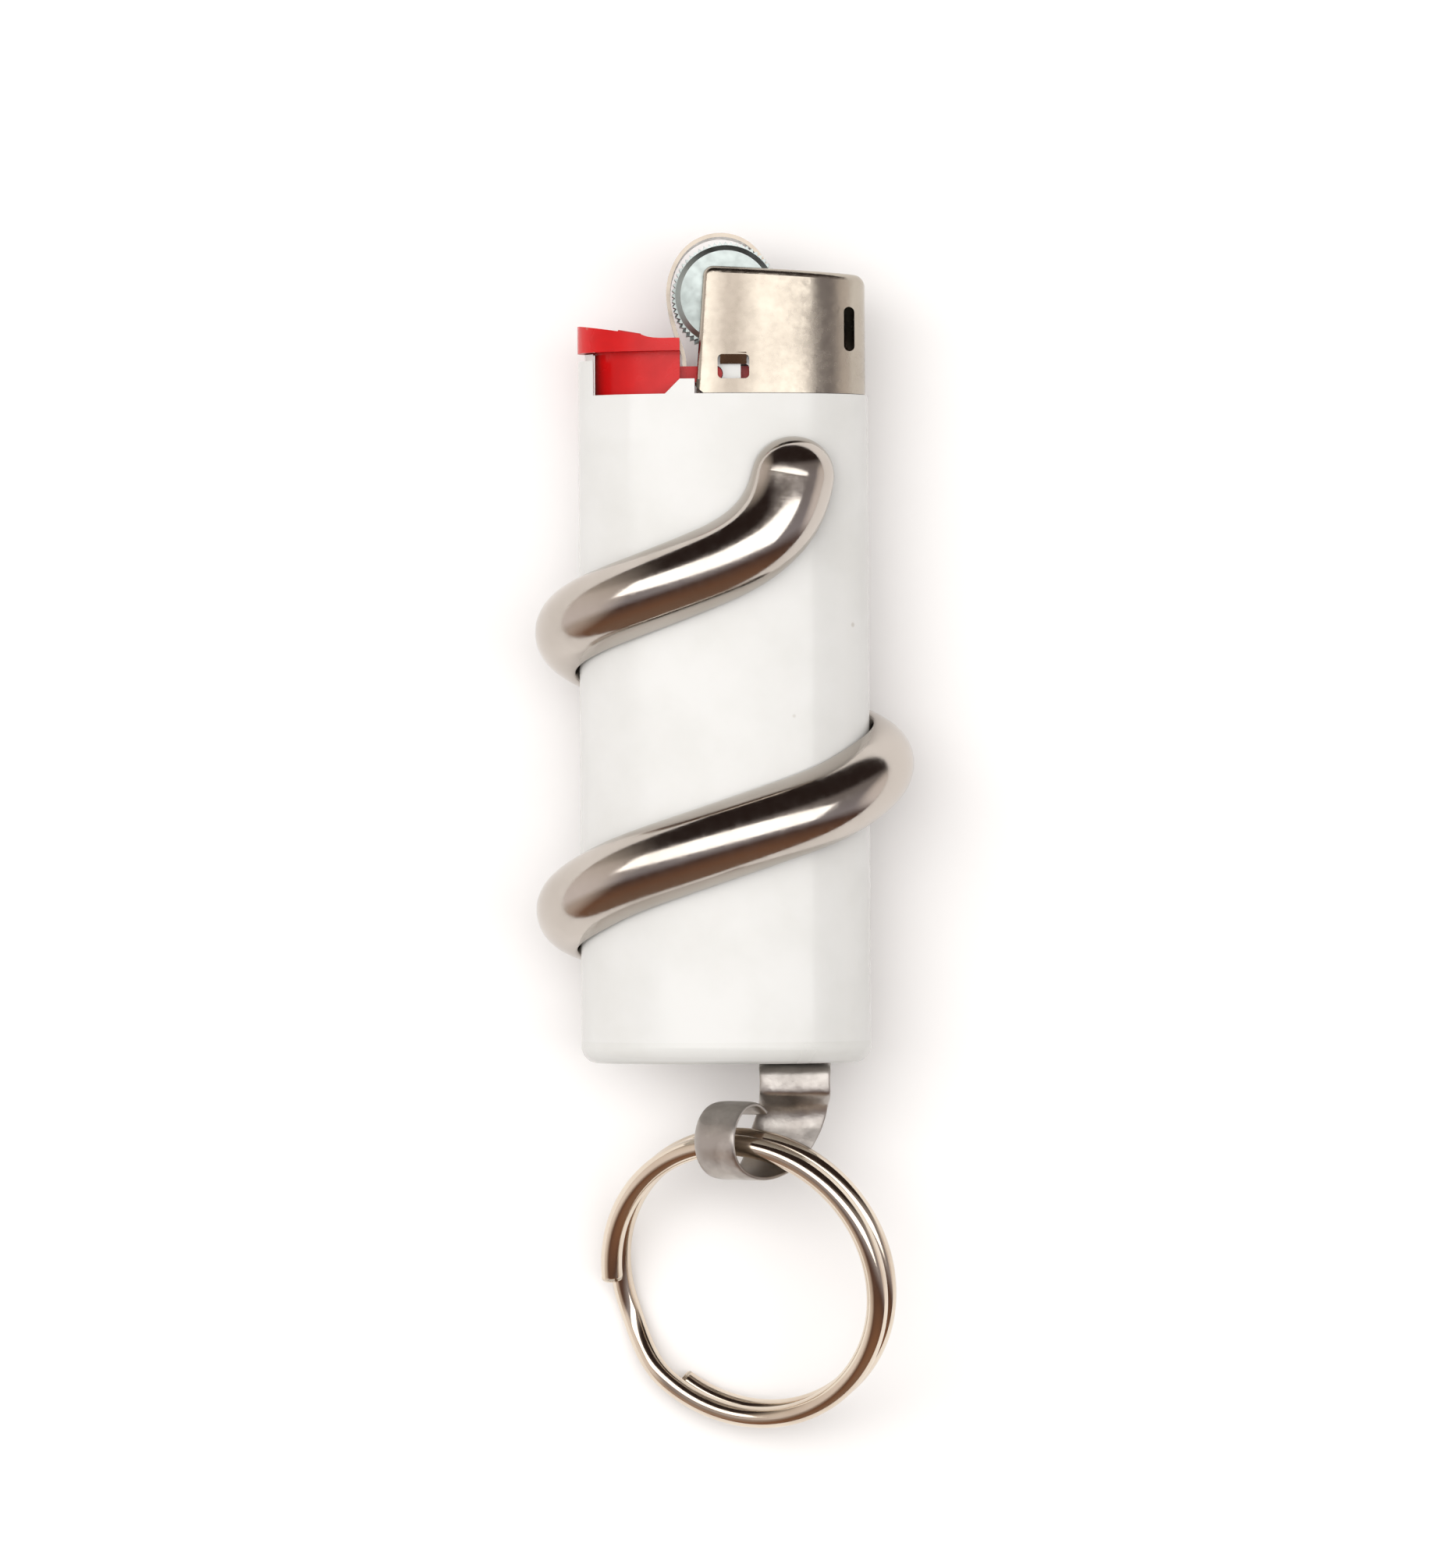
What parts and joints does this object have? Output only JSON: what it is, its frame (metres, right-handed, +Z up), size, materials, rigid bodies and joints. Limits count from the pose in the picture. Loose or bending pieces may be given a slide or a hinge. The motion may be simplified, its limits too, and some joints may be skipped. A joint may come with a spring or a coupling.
{
  "type": "pocket gas lighter in a wrapped key-ring holder",
  "caption": "Small flint-wheel gas lighter held in a bar wrapped around its body, with a rolled eye and split ring; the lighter pulls out of the wrap.",
  "frame": {"origin": "centre of the bounding box in X and Y, on the surface the object lies on", "axes": "+X across the lighter towards the hood side, +Y along it towards the flame end, +Z up from the surface; the object lies on its back"},
  "size_m": [0.0284, 0.0894, 0.018],
  "materials": {
    "holder_steel": "polished nickel plate over steel, satin where the end is flattened",
    "eye_steel": "nickel plate with a satin, slightly worked surface",
    "ring_steel": "polished nickel plate",
    "body_white": "opaque white moulding, soft gloss",
    "plug_white": "opaque white moulding, soft gloss",
    "lever_red": "red moulding, soft gloss",
    "hood_nickel": "nickel-plated pressed steel, warm tone",
    "band_steel": "bright spring steel",
    "wheel_zinc": "zinc-plated, pale blue",
    "wheel_steel": "hardened file-cut steel",
    "axle_steel": "plain drawn steel",
    "ball_steel": "polished bearing steel",
    "flint_alloy": "dull ferrocerium",
    "spring_steel": "bright spring wire",
    "valve_brass": "turned brass",
    "jet_metal": "turned zinc alloy",
    "seal_rubber": "black rubber",
    "restrictor_foam": "porous white plastic"
  },
  "bodies": {
    "holder": {"holder_bar": "holder_steel", "holder_eye": "eye_steel"},
    "ring": {"split_ring": "ring_steel"},
    "lighter": {"lighter_body": "body_white", "base_plug": "plug_white", "fill_ball": "ball_steel", "hood": "hood_nickel", "guard_band": "band_steel", "valve_housing": "valve_brass", "jet_o_ring": "seal_rubber", "flow_restrictor": "restrictor_foam", "restrictor_cup": "valve_brass", "flint_spring": "spring_steel", "jet_spring": "spring_steel"},
    "wheel": {"thumb_wheel_front": "wheel_zinc", "thumb_wheel_back": "wheel_zinc", "spark_wheel": "wheel_steel", "wheel_axle": "axle_steel"},
    "lever": {"thumb_lever": "lever_red"},
    "jet": {"valve_jet": "jet_metal", "valve_seal": "seal_rubber"},
    "flint": {"flint": "flint_alloy"}
  },
  "joints": [
    {"name": "lighter_slide", "type": "slide", "parent": "holder", "child": "lighter", "axis": [0, 1, 0], "range_m": [0, 0.065]},
    {"name": "ring_swing", "type": "hinge", "parent": "holder", "child": "ring", "pos_m": [0.00065, -0.02287, 0.0097], "axis": [0.809, 0, 0.5878], "range_deg": [-14, 48]},
    {"name": "wheel_spin", "type": "hinge", "parent": "lighter", "child": "wheel", "pos_m": [0.00024, 0.03993, 0.00902], "axis": [0, 0, 1], "continuous": true},
    {"name": "lever_press", "type": "hinge", "parent": "lighter", "child": "lever", "pos_m": [-0.0006, 0.03413, 0.00902], "axis": [0, 0, 1], "range_deg": [0, 3], "stiffness_Nm_per_rad": 0.25, "springref_deg": -3.44},
    {"name": "jet_lift", "type": "slide", "parent": "lighter", "child": "jet", "axis": [0, 1, 0], "range_m": [0, 0.00035], "deforming": ["jet_spring"]},
    {"name": "flint_feed", "type": "slide", "parent": "lighter", "child": "flint", "axis": [0, 1, 0], "range_m": [-0.002, 0], "stiffness_N_per_m": 150, "springref_m": 0.008, "deforming": ["flint_spring"]}
  ],
  "couplings": [
    {"joint": "lever_press", "follows": "jet_lift", "rad_per_m": 149.25}
  ]
}
